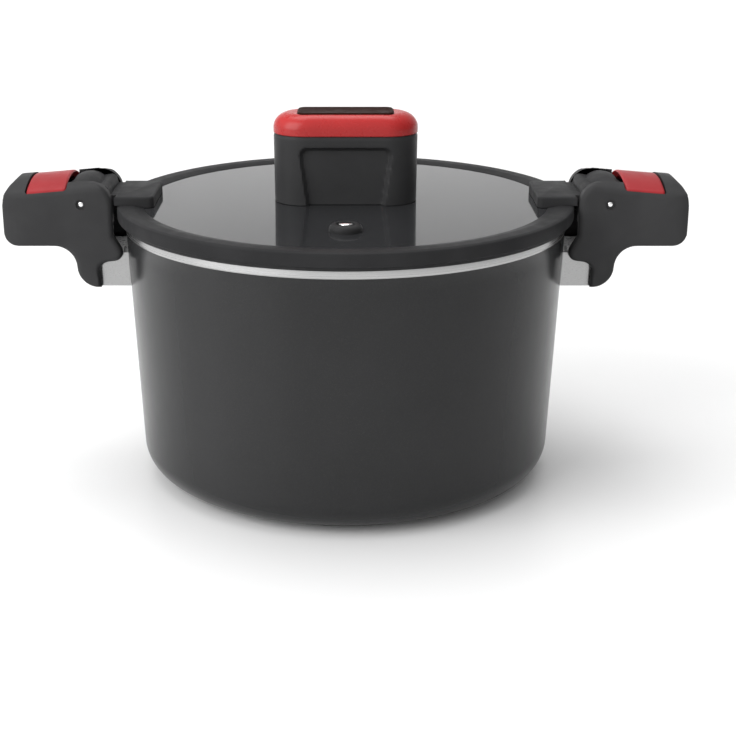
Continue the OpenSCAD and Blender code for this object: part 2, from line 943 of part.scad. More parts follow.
module jaw_plate_block(grow) {
    translate([jaw_x - grow, -17, 113])
        cube([plate_t + grow, 34, 33]);
}

module jaw_plate() {
    color("gainsboro")
        difference() {
            union() {
                jaw_plate_block(0);
                translate([tooth_tip_x, -tooth_half_w, tooth_z[0]])
                    cube([jaw_x - tooth_tip_x + eps, 2 * tooth_half_w, tooth_z[1] - tooth_z[0]]);
            }
            for (s = [-1, 1])
                translate([jaw_x - 2, s * jaw_screw_y, jaw_screw_z])
                    rotate([0, 90, 0])
                        cylinder(r = 1.4, h = 12, $fn = small_fn);
        }
}

module jaw_screws() {
    color("silver")
        for (s = [-1, 1])
            translate([jaw_x - 1.2, s * jaw_screw_y, jaw_screw_z])
                rotate([0, 90, 0])
                    difference() {
                        union() {
                            cylinder(r = 2.6, h = 1.2 - eps, $fn = small_fn);
                            cylinder(r = 1.4, h = 10, $fn = small_fn);
                        }
                        translate([-1.8, -0.35, -eps])
                            cube([3.6, 0.7, 0.6]);
                    }
}

module hinge_pin() {
    color("gainsboro")
        translate([pin_x, 0, pin_z])
            rod_y(pin_r, handle_half_w - 0.6);
}

// Wedge under the button that drives the latch
module button_wedge() {
    wedge_low_z = latch_top_z + 3.1;
    slab(6)
        polygon([[ramp_x - 2.5, button_roof_z + 1], [ramp_x - 2.5, wedge_low_z], [ramp_x + 2.7, wedge_low_z],
            [ramp_x + 5.3, latch_top_z + 5.3 + ramp_gap], [ramp_x + 5.3, button_roof_z + 1]]);
}

module release_button() {
    flange_t = 1.6;
    color("#c04044")
        difference() {
            union() {
                intersection() {
                    translate([button_x[0], -button_half_w, button_low_z])
                        cube([button_x[1] - button_x[0], 2 * button_half_w, 20]);
                    crown(button_sink);
                }
                translate([button_x[1] - 1, -10, 164.8])
                    cube([3, 20, flange_t]);
                button_wedge();
            }
            // Hollow underside beside the wedge
            difference() {
                intersection() {
                    translate([button_x[0] + button_wall, -button_half_w + button_wall, button_low_z - 1])
                        cube([button_x[1] - button_x[0] - 2 * button_wall,
                            2 * (button_half_w - button_wall), button_roof_z - button_low_z + 1]);
                    crown(button_sink + button_roof_t);
                }
                button_wedge();
            }
            // Undercut that stays clear of the hub when the button is down
            for (down = [0, button_travel])
                translate([pin_x, 0, pin_z + down])
                    hub_barrel(hub_gap, cheek_in_y);
        }
}

module button_springs() {
    color("lightsteelblue")
        for (s = [-1, 1])
            translate([spring_x, s * spring_y, 0])
                coil(2.6, 0.35, shelf_top_z + 0.05, button_roof_z - 0.05, 6);
}

module latch_plate() {
    color("silver")
        union() {
            translate([latch_tip_x, -7.5, latch_low_z])
                cube([6, 15, latch_top_z - latch_low_z]);
            translate([158, -10, latch_low_z])
                cube([19, 20, latch_top_z - latch_low_z]);
            slab(9)
                polygon([[ramp_x, latch_top_z - eps], [ramp_x + ramp_h, latch_top_z + ramp_h],
                    [ramp_x + ramp_h + 3, latch_top_z + ramp_h], [ramp_x + ramp_h + 3, latch_top_z - eps]]);
        }
}

pot_body();
base_disc();
left_side() bracket();  // bracket_left
bracket();  // bracket_right
bracket_rivets();
lid_glass();
lid_ring();
lid_clamp_ring();
lid_ring_screws();
lid_gasket();
left_side() arm();  // arm_left
arm();  // arm_right
arm_screws();
knob_body();
knob_cap();
knob_stud();
knob_nut();
knob_washer();
knob_gasket();
knob_screws();
steam_button();
valve_stem();
valve_disc();
stem_clip();
valve_spring();
indicator_grommet();
indicator_pin();
indicator_clip();
left_side() handle_shell();  // handle_shell_left
left_side() grip_cover();  // grip_cover_left
left_side() cover_screws();  // cover_screws_left
left_side() jaw_plate();  // jaw_plate_left
left_side() jaw_screws();  // jaw_screws_left
left_side() hinge_pin();  // hinge_pin_left
left_side() release_button();  // release_button_left
left_side() button_springs();  // button_springs_left
left_side() latch_plate();  // latch_plate_left
handle_shell();  // handle_shell_right
grip_cover();  // grip_cover_right
cover_screws();  // cover_screws_right
jaw_plate();  // jaw_plate_right
jaw_screws();  // jaw_screws_right
hinge_pin();  // hinge_pin_right
release_button();  // release_button_right
button_springs();  // button_springs_right
latch_plate();  // latch_plate_right
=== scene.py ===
import math
import bmesh
import bpy
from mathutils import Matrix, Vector


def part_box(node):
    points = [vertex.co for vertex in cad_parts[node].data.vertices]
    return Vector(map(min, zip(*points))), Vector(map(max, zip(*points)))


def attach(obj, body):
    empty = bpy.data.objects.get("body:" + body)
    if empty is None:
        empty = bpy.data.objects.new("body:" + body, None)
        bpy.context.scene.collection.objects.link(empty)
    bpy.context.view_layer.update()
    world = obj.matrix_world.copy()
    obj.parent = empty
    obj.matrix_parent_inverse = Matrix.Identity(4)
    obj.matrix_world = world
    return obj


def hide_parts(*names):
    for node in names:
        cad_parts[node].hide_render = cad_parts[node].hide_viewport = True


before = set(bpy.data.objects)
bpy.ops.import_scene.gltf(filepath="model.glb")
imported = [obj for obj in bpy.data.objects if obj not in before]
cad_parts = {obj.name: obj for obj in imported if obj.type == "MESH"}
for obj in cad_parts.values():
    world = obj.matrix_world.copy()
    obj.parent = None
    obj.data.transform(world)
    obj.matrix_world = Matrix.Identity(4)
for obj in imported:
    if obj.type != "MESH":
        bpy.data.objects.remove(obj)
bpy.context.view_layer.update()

# Every length below is in millimetres and is turned into metres when a mesh is made.
MM = 0.001

# ---- Sizes, from the frame where a CAD node gives them ----


def node_box(name):
    low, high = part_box(name)
    return [c / MM for c in low], [c / MM for c in high]


def node_middle(name):
    low, high = node_box(name)
    return [(a + b) / 2 for a, b in zip(low, high)]


PIN_X, _, PIN_Z = node_middle("hinge_pin_right")
HANDLE_LOW, HANDLE_HIGH = node_box("handle_shell_right")
HALF_W = HANDLE_HIGH[1]
END_X = HANDLE_HIGH[0]
JAW_LOW_Z = HANDLE_LOW[2]
RING_R = node_box("lid_ring")[1][1]
RING_LOW_Z = node_box("lid_ring")[0][2]
RING_TOP_Z = node_box("lid_ring")[1][2]
GLASS_TOP_Z = node_box("lid_glass")[1][2]
WINDOW_R = 113.6
POT_H = node_box("pot_body")[1][2]
RIM_R = node_box("pot_body")[1][1]
RING_SLOPE_W = 6.0
ARM_TOP_Z = RING_TOP_Z + 4.9
KNOB_LOW, KNOB_HIGH = node_box("knob_body")
CAP_LOW, CAP_HIGH = node_box("knob_cap")
PLATE_LOW, PLATE_HIGH = node_box("steam_button")
BUTTON_LOW, BUTTON_HIGH = node_box("release_button_right")
VALVE_Y = node_middle("indicator_pin")[1]
GRIP_LOW_Z = 135
CROWN_R = 59
CROWN_Z = 173.4
CROWN_SLOPE = math.tan(math.radians(4.9))
HUB_R = 12.4
HUB_HALF_W = 18
HUB_CROWN_R = 90.9
GROOVE_R = 10
CHEEK_IN_Y = 18.3
END_ROLL = 12
HUB_GAP = 0.35
BUTTON_GAP = 0.5
BUTTON_TRAVEL = 2.5
BUTTON_FLANGE = 2.0
BUTTON_END_X = BUTTON_HIGH[0] - BUTTON_FLANGE

# ---- Materials ----


def new_material(name):
    mat = bpy.data.materials.new(name)
    mat.use_nodes = True
    tree = mat.node_tree
    shader = tree.nodes["Principled BSDF"]
    coords = tree.nodes.new("ShaderNodeTexCoord")
    return mat, tree, shader, coords.outputs["Object"]


def noise(tree, coords, scale, detail=3.0, stretch=(1, 1, 1)):
    mapping = tree.nodes.new("ShaderNodeMapping")
    mapping.inputs["Scale"].default_value = stretch
    tree.links.new(coords, mapping.inputs["Vector"])
    node = tree.nodes.new("ShaderNodeTexNoise")
    node.inputs["Scale"].default_value = scale
    node.inputs["Detail"].default_value = detail
    tree.links.new(mapping.outputs["Vector"], node.inputs["Vector"])
    return node.outputs["Fac"]


def ramp(tree, fac, low, high, low_at=0.3, high_at=0.7):
    node = tree.nodes.new("ShaderNodeValToRGB")
    node.color_ramp.elements[0].position = low_at
    node.color_ramp.elements[0].color = low
    node.color_ramp.elements[1].position = high_at
    node.color_ramp.elements[1].color = high
    tree.links.new(fac, node.inputs["Fac"])
    return node.outputs["Color"]


def grey(v):
    return (v, v, v, 1)


def bump(tree, height, strength, distance, shader):
    node = tree.nodes.new("ShaderNodeBump")
    node.inputs["Strength"].default_value = strength
    node.inputs["Distance"].default_value = distance
    tree.links.new(height, node.inputs["Height"])
    tree.links.new(node.outputs["Normal"], shader.inputs["Normal"])


def plastic(name, dark, light, rough, grain=2600, grain_depth=0.00003, ior=1.26):
    """Moulded plastic with a fine spark-eroded grain and slightly uneven gloss."""
    mat, tree, shader, coords = new_material(name)
    cloud = noise(tree, coords, 45)
    tree.links.new(ramp(tree, cloud, dark, light), shader.inputs["Base Color"])
    gloss = ramp(tree, noise(tree, coords, 160, 4), grey(rough - 0.05), grey(rough + 0.05))
    tree.links.new(gloss, shader.inputs["Roughness"])
    shader.inputs["IOR"].default_value = ior
    bump(tree, noise(tree, coords, grain, 2), 0.35, grain_depth, shader)
    return mat


def metal(name, low, high, rough, stretch=(1, 1, 1), scale=900, depth=0.00001):
    """Metal with brush or tool marks drawn out along one direction."""
    mat, tree, shader, coords = new_material(name)
    marks = noise(tree, coords, scale, 4, stretch)
    tree.links.new(ramp(tree, marks, low, high), shader.inputs["Base Color"])
    gloss = ramp(tree, marks, grey(max(rough - 0.06, 0.02)), grey(rough + 0.06))
    tree.links.new(gloss, shader.inputs["Roughness"])
    shader.inputs["Metallic"].default_value = 1.0
    bump(tree, marks, 0.25, depth, shader)
    return mat


def coating(name, dark, light, rough, metallic, speckle):
    """Sprayed coating: fine metallic speckle in a dark base, with a faint orange-peel surface."""
    mat, tree, shader, coords = new_material(name)
    flakes = noise(tree, coords, 3200, 2)
    cloud = noise(tree, coords, 18, 3)
    mix = tree.nodes.new("ShaderNodeMix")
    mix.data_type = "RGBA"
    mix.blend_type = "ADD"
    mix.inputs["Factor"].default_value = 1.0
    tree.links.new(ramp(tree, cloud, dark, light), mix.inputs["A"])
    tree.links.new(ramp(tree, flakes, grey(0), grey(speckle), 0.55, 0.8), mix.inputs["B"])
    tree.links.new(mix.outputs["Result"], shader.inputs["Base Color"])
    gloss = ramp(tree, noise(tree, coords, 90, 3), grey(rough - 0.02), grey(rough + 0.02))
    tree.links.new(gloss, shader.inputs["Roughness"])
    shader.inputs["Metallic"].default_value = metallic
    shader.inputs["IOR"].default_value = 1.34
    bump(tree, noise(tree, coords, 700, 3), 0.07, 0.00003, shader)
    return mat


def turned_aluminium(name):
    """Bare aluminium with the fine rings that a lathe leaves."""
    mat, tree, shader, coords = new_material(name)
    split = tree.nodes.new("ShaderNodeSeparateXYZ")
    tree.links.new(coords, split.inputs["Vector"])
    radius = tree.nodes.new("ShaderNodeVectorMath")
    radius.operation = "LENGTH"
    flat = tree.nodes.new("ShaderNodeCombineXYZ")
    tree.links.new(split.outputs["X"], flat.inputs["X"])
    tree.links.new(split.outputs["Y"], flat.inputs["Y"])
    tree.links.new(flat.outputs["Vector"], radius.inputs[0])
    rings = tree.nodes.new("ShaderNodeCombineXYZ")
    tree.links.new(radius.outputs["Value"], rings.inputs["X"])
    tree.links.new(split.outputs["Z"], rings.inputs["Z"])
    marks = noise(tree, rings.outputs["Vector"], 5200, 3)
    tree.links.new(ramp(tree, marks, grey(0.34), grey(0.5)), shader.inputs["Base Color"])
    tree.links.new(ramp(tree, marks, grey(0.2), grey(0.32)), shader.inputs["Roughness"])
    shader.inputs["Metallic"].default_value = 1.0
    bump(tree, marks, 0.3, 0.00002, shader)
    return mat


def smoked_glass(name):
    """Tinted toughened glass: a dark body under a bright, slightly uneven reflection."""
    mat, tree, shader, coords = new_material(name)
    tint = ramp(tree, noise(tree, coords, 9, 2), (0.022, 0.0225, 0.024, 1), (0.03, 0.0305, 0.032, 1))
    tree.links.new(tint, shader.inputs["Base Color"])
    smear = ramp(tree, noise(tree, coords, 30, 5, (1, 3, 1)), grey(0.05), grey(0.09))
    tree.links.new(smear, shader.inputs["Roughness"])
    shader.inputs["IOR"].default_value = 1.62
    bump(tree, noise(tree, coords, 14, 2), 0.05, 0.0002, shader)
    return mat


def silicone(name, colour):
    mat, tree, shader, coords = new_material(name)
    dark = (colour[0] * 0.75, colour[1] * 0.75, colour[2] * 0.75, 1)
    tree.links.new(ramp(tree, noise(tree, coords, 130), dark, (*colour, 1)), shader.inputs["Base Color"])
    dust = ramp(tree, noise(tree, coords, 420, 4), grey(0.42), grey(0.58))
    tree.links.new(dust, shader.inputs["Roughness"])
    shader.inputs["IOR"].default_value = 1.2
    bump(tree, noise(tree, coords, 1500, 2), 0.2, 0.00003, shader)
    return mat


BLACK = plastic("black_plastic", (0.038, 0.038, 0.039, 1), (0.047, 0.047, 0.048, 1), 0.44, ior=1.12)
# The arm and ring plastics are darker copies of the same black plastic. Their lower base colours are painted
# shade that holds down how bright the top-lit faces of the lid ring and arms read.
ARM_BLACK_PAINTED_SHADE = plastic("arm_plastic_painted_shade", (0.028, 0.028, 0.029, 1), (0.035, 0.035, 0.036, 1), 0.46, ior=1.1)
RING_BLACK_PAINTED_SHADE = plastic("ring_plastic_painted_shade", (0.024, 0.024, 0.025, 1), (0.03, 0.03, 0.031, 1), 0.42, ior=1.1)
KNOB_BLACK = plastic("knob_plastic", (0.033, 0.033, 0.034, 1), (0.04, 0.04, 0.041, 1), 0.38, ior=1.2)
PLATE_BLACK = plastic("push_plate_plastic", (0.02, 0.008, 0.006, 1), (0.026, 0.01, 0.008, 1), 0.42, ior=1.05)
RED_CAP = plastic("red_cap_plastic", (0.39, 0.014, 0.014, 1), (0.43, 0.018, 0.018, 1), 0.28,
                  1800, 0.00001, ior=1.42)
RED_BUTTON = plastic("red_button_plastic", (0.28, 0.017, 0.021, 1), (0.33, 0.023, 0.028, 1), 0.38,
                     2200, 0.00002)
COATING = coating("pot_coating", (0.014, 0.0143, 0.0148, 1), (0.017, 0.0173, 0.018, 1), 0.25, 0.0, 0.02)
NONSTICK = coating("non_stick_lining", (0.022, 0.022, 0.023, 1), (0.03, 0.03, 0.031, 1), 0.45, 0.1, 0.12)
ALUMINIUM = turned_aluminium("bare_aluminium")
STEEL = metal("brushed_steel", grey(0.52), grey(0.68), 0.26, (1, 1, 12))
STRAP = metal("strap_steel", grey(0.35), grey(0.39), 0.3, (1, 1, 10), 500, 0.000004)
CHROME = metal("polished_steel", grey(0.8), grey(0.9), 0.08, (1, 1, 1), 300, 0.000004)
SPRING_STEEL = metal("spring_steel", grey(0.42), grey(0.56), 0.2, (1, 1, 1), 600)
GLASS = smoked_glass("smoked_glass")
SILICONE = silicone("black_silicone", (0.03, 0.03, 0.031))
RED_SILICONE = silicone("red_silicone", (0.34, 0.06, 0.035))

# ---- Mesh helpers ----


def arc(centre, r, a, b, n):
    """Points along an arc in a plane, from angle a to b in degrees."""
    out = []
    for i in range(n + 1):
        t = math.radians(a + (b - a) * i / n)
        out.append((centre[0] + r * math.cos(t), centre[1] + r * math.sin(t)))
    return out


def make_mesh(name, verts, faces, mats, face_mats=None, sharp=38):
    mesh = bpy.data.meshes.new(name)
    mesh.from_pydata([(x * MM, y * MM, z * MM) for x, y, z in verts], [], faces)
    mesh.validate()
    for mat in mats:
        mesh.materials.append(mat)
    if face_mats:
        for poly, index in zip(mesh.polygons, face_mats):
            poly.material_index = index
    mesh.shade_smooth()
    mesh.set_sharp_from_angle(angle=math.radians(sharp))
    obj = bpy.data.objects.new(name, mesh)
    bpy.context.scene.collection.objects.link(obj)
    return obj


def loft(name, rings, mats, sharp=38):
    """Joins closed rings of points, in order, and closes both ends with flat caps."""
    n = len(rings[0])
    verts = [p for ring in rings for p in ring]
    faces = []
    for i in range(len(rings) - 1):
        for j in range(n):
            k = (j + 1) % n
            faces.append((i * n + j, i * n + k, (i + 1) * n + k, (i + 1) * n + j))
    faces.append(tuple(reversed(range(n))))
    faces.append(tuple(range(len(verts) - n, len(verts))))
    return make_mesh(name, verts, faces, mats, sharp=sharp)


def revolve(name, profile, mats, centre=(0, 0), segments=160, closed=False, marks=None):
    """Turns a profile of (radius, height) about a vertical axis. A radius of 0 makes a pole."""
    verts = []
    rows = []
    for r, z in profile:
        if r == 0:
            rows.append([len(verts)] * segments)
            verts.append((centre[0], centre[1], z))
            continue
        rows.append(list(range(len(verts), len(verts) + segments)))
        for j in range(segments):
            t = 2 * math.pi * j / segments
            verts.append((centre[0] + r * math.cos(t), centre[1] + r * math.sin(t), z))
    faces = []
    face_mats = []
    spans = len(profile) if closed else len(profile) - 1
    for i in range(spans):
        low, high = rows[i], rows[(i + 1) % len(rows)]
        for j in range(segments):
            k = (j + 1) % segments
            loop = []
            for v in (low[j], low[k], high[k], high[j]):
                if v not in loop:
                    loop.append(v)
            if len(loop) > 2:
                faces.append(tuple(loop))
                face_mats.append(marks[i] if marks else 0)
    return make_mesh(name, verts, faces, mats, face_mats)


def fix_normals(obj):
    bm = bmesh.new()
    bm.from_mesh(obj.data)
    bmesh.ops.recalc_face_normals(bm, faces=bm.faces)
    bm.to_mesh(obj.data)
    bm.free()


def boolean(obj, cutters, operation="DIFFERENCE", sharp=38):
    """Applies one boolean with all the cutters together, then removes them."""
    fix_normals(obj)
    group = bpy.data.collections.new("cutters")
    bpy.context.scene.collection.children.link(group)
    for cutter in cutters:
        fix_normals(cutter)
        group.objects.link(cutter)
    mod = obj.modifiers.new("cut", "BOOLEAN")
    mod.operation = operation
    mod.solver = "EXACT"
    mod.operand_type = "COLLECTION"
    mod.collection = group
    graph = bpy.context.evaluated_depsgraph_get()
    mesh = bpy.data.meshes.new_from_object(obj.evaluated_get(graph))
    obj.modifiers.clear()
    obj.data = mesh
    for cutter in cutters:
        bpy.data.objects.remove(cutter)
    bpy.data.collections.remove(group)
    obj.data.shade_smooth()
    obj.data.set_sharp_from_angle(angle=math.radians(sharp))
    return obj


def soften(obj, voxel, passes):
    """Rebuilds a closed mesh as small even faces and relaxes its edges into soft rolls."""
    remesh = obj.modifiers.new("remesh", "REMESH")
    remesh.mode = "VOXEL"
    remesh.voxel_size = voxel * MM
    relax = obj.modifiers.new("relax", "SMOOTH")
    relax.factor = 0.5
    relax.iterations = passes
    graph = bpy.context.evaluated_depsgraph_get()
    mesh = bpy.data.meshes.new_from_object(obj.evaluated_get(graph))
    obj.modifiers.clear()
    obj.data = mesh
    obj.data.shade_smooth()
    return obj


def ring_at(outline, z):
    return [(x, y, z) for x, y in outline]


def rounded_rect(x0, x1, y0, y1, r, n=6):
    """Outline of a rectangle with round corners, anticlockwise."""
    return (arc((x1 - r, y1 - r), r, 0, 90, n) + arc((x0 + r, y1 - r), r, 90, 180, n)
            + arc((x0 + r, y0 + r), r, 180, 270, n) + arc((x1 - r, y0 + r), r, 270, 360, n))


def stadium(half_l, half_d):
    """Outline of the knob seen from above: straight sides with round ends, anticlockwise."""
    straight = half_l - half_d
    return arc((straight, 0), half_d, -90, 90, 28) + arc((-straight, 0), half_d, 90, 270, 28)


def resample(points, step):
    """Spreads points evenly along a closed outline, and keeps its corners."""
    out = []
    for i, (x, y) in enumerate(points):
        u, v = points[(i + 1) % len(points)]
        parts = max(1, round(math.hypot(u - x, v - y) / step))
        out += [(x + (u - x) * k / parts, y + (v - y) * k / parts) for k in range(parts)]
    return out


def inset(points, amount):
    """Moves each point of an anticlockwise outline inwards."""
    out = []
    n = len(points)
    for i in range(n):
        ax, ay = points[i - 1]
        bx, by = points[(i + 1) % n]
        dx, dy = bx - ax, by - ay
        length = math.hypot(dx, dy) or 1
        out.append((points[i][0] - amount * dy / length, points[i][1] + amount * dx / length))
    return out


def turned_y(name, rows, mats, rise=0.0, segments=96):
    """Turns rows of (y, radius) about the hinge line, or about a line that is rise above it."""
    turns = [2 * math.pi * j / segments for j in range(segments)]
    rings = [[(PIN_X + r * math.cos(t), y, PIN_Z + rise + r * math.sin(t)) for t in turns] for y, r in rows]
    return loft(name, rings, mats)


def barrel(name, grow, half_w, mats, edge=0.0, rise=0.0):
    """The crowned hub of a lid arm, or the room around it."""
    rows = []
    for i in range(25):
        y = half_w * (i / 12 - 1)
        rows.append((y, HUB_R + grow - HUB_CROWN_R + math.sqrt(HUB_CROWN_R ** 2 - y ** 2)))
    if edge:
        y0, r0 = rows[0]
        corner = [(y0, r0 - edge), (y0 + 0.3 * edge, r0 - 0.3 * edge), (y0 + edge, r0)]
        rows = corner + rows[1:-1] + [(-y, r) for y, r in reversed(corner)]
    return turned_y(name, rows, mats, rise)


def extrude_y(name, outline, half_w, mats, edge=0.6):
    """Extrudes an outline of x and z along y, with its side edges broken."""
    rings = []
    for y, amount in ((-half_w, edge), (edge - half_w, 0.0), (half_w - edge, 0.0), (half_w, edge)):
        rings.append([(x, y, z) for x, z in inset(outline, amount)])
    return loft(name, rings, mats)


def block(name, x0, x1, y0, y1, z0, z1, mats, r=0.0, edge=0.0):
    """A box with round vertical corners and rounded top and bottom edges."""
    r = max(r, edge + 0.01)
    base = rounded_rect(x0, x1, y0, y1, max(r, 0.05))
    if not edge:
        return loft(name, [ring_at(base, z0), ring_at(base, z1)], mats)
    rings = []
    for k in range(5):
        t = math.radians(90 * k / 4)
        rings.append(ring_at(inset(base, edge * (1 - math.sin(t))), z0 + edge * (1 - math.cos(t))))
    for k in range(5):
        t = math.radians(90 * k / 4)
        rings.append(ring_at(inset(base, edge * (1 - math.cos(t))), z1 - edge * (1 - math.sin(t))))
    return loft(name, rings, mats)


def turned_half(obj, side):
    """Turns a right-hand mesh half a turn about the z axis for the left-hand side."""
    if side == "left":
        for v in obj.data.vertices:
            v.co.x, v.co.y = -v.co.x, -v.co.y
    return obj


def finished(obj, body, slot, *nodes):
    fix_normals(obj)
    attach(obj, body)
    if nodes:
        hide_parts(*nodes)
    return obj


# ---- Pot ----


def make_pot():
    wall_low, corner = 118.0, 16.0
    z0 = 3.0
    outer = [(0, 0.35), (99.6, 0.35), (100.7, 0.6), (101, 1.2), (101, 2.6), (101.3, 3.0), (102, z0)]
    outer += arc((wall_low - corner, z0 + corner), corner, -86, 0, 18)
    wall_n = 16
    for i in range(1, wall_n + 1):
        outer.append((wall_low + 5.4 * i / wall_n, z0 + corner + (143.2 - z0 - corner) * i / wall_n))
    coated = len(outer)
    rim = [(123.5, 143.4), (RIM_R - 0.05, 143.7), (RIM_R, 144.2), (RIM_R, POT_H - 0.9)]
    rim += arc((RIM_R - 0.9, POT_H - 0.9), 0.9, 15, 90, 5)
    rim += arc((120.9, POT_H - 0.9), 0.9, 90, 175, 5)
    bare = len(rim)
    inner = [(120, 146.5)]
    for i in range(1, 11):
        inner.append((120 - 5.5 * i / 10, 146.5 - (146.5 - z0 - corner) * i / 10))
    inner += arc((102, z0 + corner), 12.5, 0, -90, 14)[1:]
    inner.append((0, 6.5))
    marks = [0] * (coated - 1) + [1] * (bare + 1) + [2] * (len(inner) - 1)
    pot = revolve("pot_shell", outer + rim + inner, [COATING, ALUMINIUM, NONSTICK], marks=marks, segments=192)
    finished(pot, "pot", "pot_coating", "pot_body")


def make_base():
    profile = [(0, 1.15), (0, 0.25)]
    for r in (24, 42, 60, 78):
        profile += [(r - 1.2, 0.25), (r - 0.6, 0.6), (r + 0.6, 0.6), (r + 1.2, 0.25)]
    profile += [(85, 0.0), (87.4, 0.0), (88, 0.5), (88, 1.15)]
    disc = revolve("induction_disc", profile, [ALUMINIUM], closed=True, segments=160)
    finished(disc, "pot", "bare_steel", "base_disc")


# ---- Lid ----


def make_ring():
    """Ring that slopes up gently from the glass and turns down over the rim of the pot."""
    w, top, low, out = WINDOW_R, RING_TOP_Z, RING_LOW_Z, RING_R
    seat = 152.0
    profile = [(w + 2.6, GLASS_TOP_Z + 0.02), (w, GLASS_TOP_Z + 0.02), (w, GLASS_TOP_Z + 0.12)]
    slope = w + RING_SLOPE_W
    profile += [(w + 0.3, GLASS_TOP_Z + 0.25), (slope - 0.6, top - 0.1)]
    profile += [(slope, top - 0.02), (slope + 0.6, top)]
    profile += [(out - 2.6, top), (out - 1.9, top - 0.06), (out - 0.75, top - 0.4)]
    profile += arc((out - 0.9, top - 1.3), 0.9, 62, 0, 5)
    profile += [(out, low + 0.6)]
    profile += arc((out - 0.6, low + 0.6), 0.6, -20, -90, 3)
    profile += [(out - 2.1, low), (out - 2.2, low + 0.2), (out - 2.2, seat), (w + 2.6, seat)]
    ring = revolve("lid_ring_moulding", profile, [RING_BLACK_PAINTED_SHADE], closed=True, segments=224)
    finished(ring, "lid", "black_plastic", "lid_ring")


def make_arm(side):
    """Plate over the ring, neck, and hinge hub of one lid arm."""
    half = 23.0
    in_x, end_x = 105.8, 127.4
    corner = 3
    edge = 1.2
    under = GLASS_TOP_Z + 0.3
    corners = arc((in_x + corner, half - corner), corner, 90, 180, 6)
    corners += arc((in_x + corner, corner - half), corner, 180, 270, 6)
    outline = resample(corners + [(end_x, -half), (end_x, half)], 2.0)
    rings = [ring_at(outline, under)]
    for k in range(5):
        t = math.radians(90 * k / 4)
        rings.append(ring_at(inset(outline, edge * (1 - math.cos(t))), ARM_TOP_Z - edge * (1 - math.sin(t))))
    arm = loft("lid_arm_" + side, rings, [ARM_BLACK_PAINTED_SHADE])
    slope = WINDOW_R + RING_SLOPE_W
    seat = [(WINDOW_R - 0.1, under - 2), (WINDOW_R - 0.1, under), (slope - 0.6, RING_TOP_Z - 0.05),
            (slope + 0.6, RING_TOP_Z + 0.03), (RING_R + 5, RING_TOP_Z + 0.03), (RING_R + 5, under - 2)]
    boolean(arm, [revolve("seat", seat, [ARM_BLACK_PAINTED_SHADE], closed=True, segments=224)])
    neck = block("neck", end_x - 2, PIN_X, -HUB_HALF_W, HUB_HALF_W,
                 RING_TOP_Z + 0.05, ARM_TOP_Z - 0.05, [ARM_BLACK_PAINTED_SHADE], 1)
    gusset = block("gusset", RING_R + 0.3, PIN_X, -HUB_HALF_W, HUB_HALF_W,
                   153, RING_TOP_Z + 1, [ARM_BLACK_PAINTED_SHADE], 1)
    hub = barrel("hub", 0, HUB_HALF_W, [ARM_BLACK_PAINTED_SHADE], 0.6)
    shoulder_points = [(0, 0), (-6, 7.9), (-9.1, 8.4), (-11.6, 8.8), (-12.7, 8.5), (-14, 7.4), (-15, 4.2),
                       (-15.4, 0)]
    shoulder_outline = [(PIN_X + x, PIN_Z + z) for x, z in shoulder_points]
    shoulder = extrude_y("shoulder", shoulder_outline, HUB_HALF_W - 0.05, [ARM_BLACK_PAINTED_SHADE])
    boolean(arm, [neck, gusset, hub, shoulder], "UNION")
    bore = turned_y("bore", [(-HUB_HALF_W - 2, 1.8), (HUB_HALF_W + 2, 1.8)], [ARM_BLACK_PAINTED_SHADE])
    groove_low, groove_high, groove_out_r, groove_half_w = -42, 62, 16, 8.3
    groove_outline = arc((PIN_X, PIN_Z), GROOVE_R, groove_high, groove_low, 26)
    groove_outline += arc((PIN_X, PIN_Z), groove_out_r, groove_low, groove_high, 26)
    groove = loft("groove", [[(x, y, z) for x, z in groove_outline] for y in (-groove_half_w, groove_half_w)],
                  [ARM_BLACK_PAINTED_SHADE])
    boolean(arm, [bore, groove])
    turned_half(arm, side)
    finished(arm, "lid", "black_plastic", "arm_" + side)


def make_indicator():
    """Silicone dome with a polished stud sunk in its top."""
    dome_top = GLASS_TOP_Z + 3.9
    dome = [(2.62, 150.5), (7.2, 150.5), (8, 151.0), (8, 151.9), (6, 152.0), (6, GLASS_TOP_Z),
            (8.8, GLASS_TOP_Z + 0.02), (8.8, GLASS_TOP_Z + 1)]
    dome += arc((5.9, GLASS_TOP_Z + 1), 2.9, 12, 90, 8)
    dome += [(5.2, dome_top), (4.9, dome_top - 0.3), (4.8, dome_top - 1), (2.62, dome_top - 1)]
    grommet = revolve("indicator_seal", dome, [SILICONE], (0, VALVE_Y), 72, closed=True)
    finished(grommet, "lid", "silicone", "indicator_grommet")
    low = node_box("indicator_pin")[0][2]
    head = GLASS_TOP_Z + 3.1
    pin = [(0, low), (2.2, low), (2.55, low + 0.4), (2.55, head - 0.1), (3.2, head)]
    pin += arc((3.1, head + 0.5), 0.5, -60, 40, 4)
    pin += [(3.3, head + 1.0), (2.6, head + 1.25), (1.2, head + 1.4), (0, head + 1.42)]
    stud = revolve("indicator_stud", pin, [CHROME], (0, VALVE_Y), 64)
    finished(stud, "indicator", "polished_steel", "indicator_pin")


# ---- Knob ----

KNOB_HALF_L = (CAP_HIGH[0] - CAP_LOW[0]) / 2
KNOB_HALF_D = (CAP_HIGH[1] - CAP_LOW[1]) / 2


def smooth(t):
    t = min(max(t, 0.0), 1.0)
    return t * t * (3 - 2 * t)


def recess_depth(x, z):
    """How far the finger recess sinks the face of the knob at x, z."""
    top, bevel, depth = 189.0, 2.4, 3.2
    half = 22.0 + 4.6 * (z - KNOB_LOW[2]) / (top - KNOB_LOW[2])
    corner = 6.0
    dx = abs(x) - (half - corner)
    dz = z - (top - corner)
    if dx > 0 and dz > 0:
        inside = corner - math.hypot(dx, dz)
    else:
        inside = corner - max(dx, dz)
    return depth * smooth(inside / bevel)


